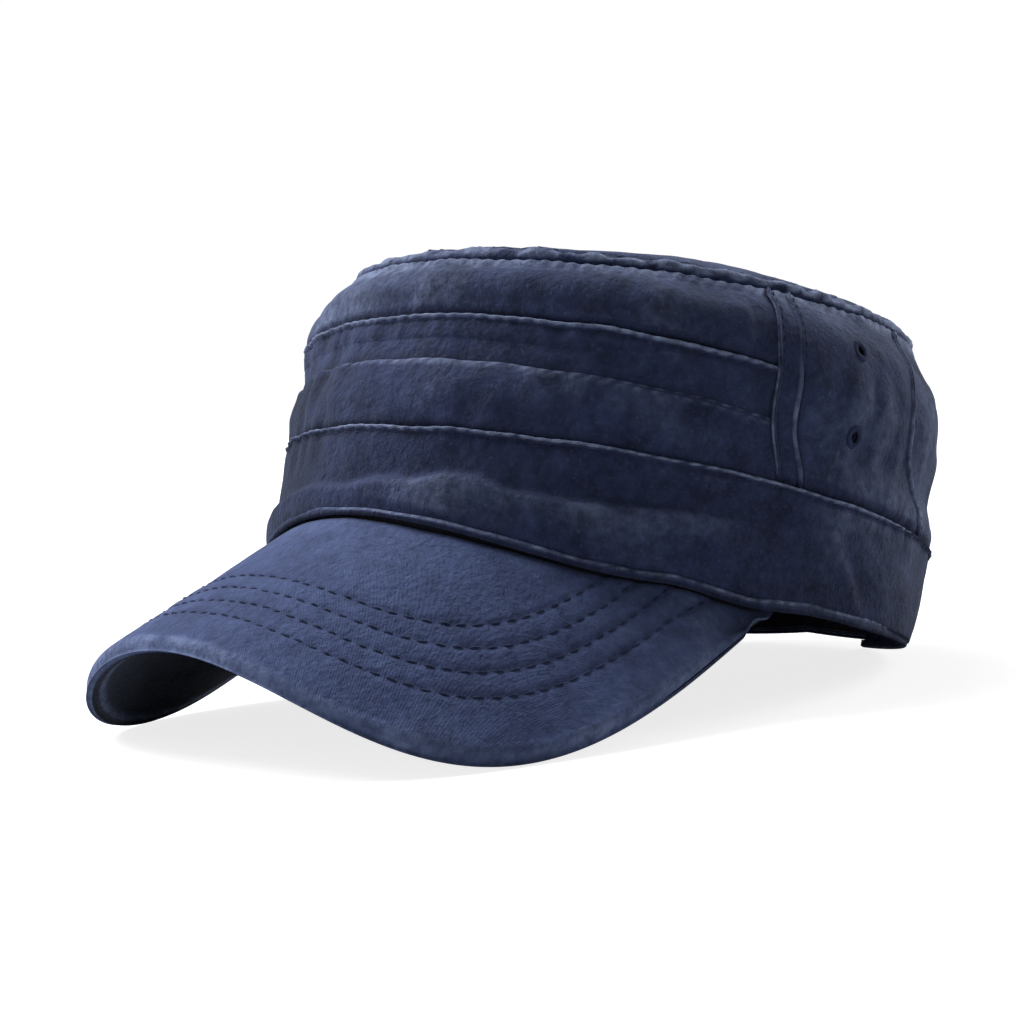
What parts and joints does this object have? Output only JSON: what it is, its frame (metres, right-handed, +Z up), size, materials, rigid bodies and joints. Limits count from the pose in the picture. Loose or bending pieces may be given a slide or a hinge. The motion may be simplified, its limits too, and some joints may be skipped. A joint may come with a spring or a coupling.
{
  "type": "cadet cap",
  "caption": "Flat-topped cotton cap with a front stitched in strips, a plain head band, an open head hollow and a curved peak.",
  "frame": {"origin": "on the flat surface that the cap rests on, under the middle of its box", "axes": "+Z up, -Y towards the front of the peak, +X towards the wearer's left"},
  "size_m": [0.1836, 0.266, 0.1279],
  "materials": {
    "crown_cloth": "washed navy cotton twill with faded seams",
    "peak_cloth": "washed navy cotton twill, faded lighter than the crown",
    "lining_cloth": "plain dark cotton tape",
    "eyelet_thread": "matt embroidery thread"
  },
  "bodies": {
    "root": {"crown_top": "crown_cloth", "front_upper_panel": "crown_cloth", "front_tuck_panel": "crown_cloth", "front_middle_panel": "crown_cloth", "side_strip_left": "crown_cloth", "side_strip_right": "crown_cloth", "side_panel_left": "crown_cloth", "side_panel_right": "crown_cloth", "eyelet_left_upper": "eyelet_thread", "eyelet_left_lower": "eyelet_thread", "eyelet_right_upper": "eyelet_thread", "eyelet_right_lower": "eyelet_thread", "back_panel": "crown_cloth", "head_band": "crown_cloth", "hem_roll": "crown_cloth", "back_strap": "crown_cloth", "sweatband": "lining_cloth", "peak_top": "peak_cloth", "peak_under": "peak_cloth"}
  },
  "joints": []
}
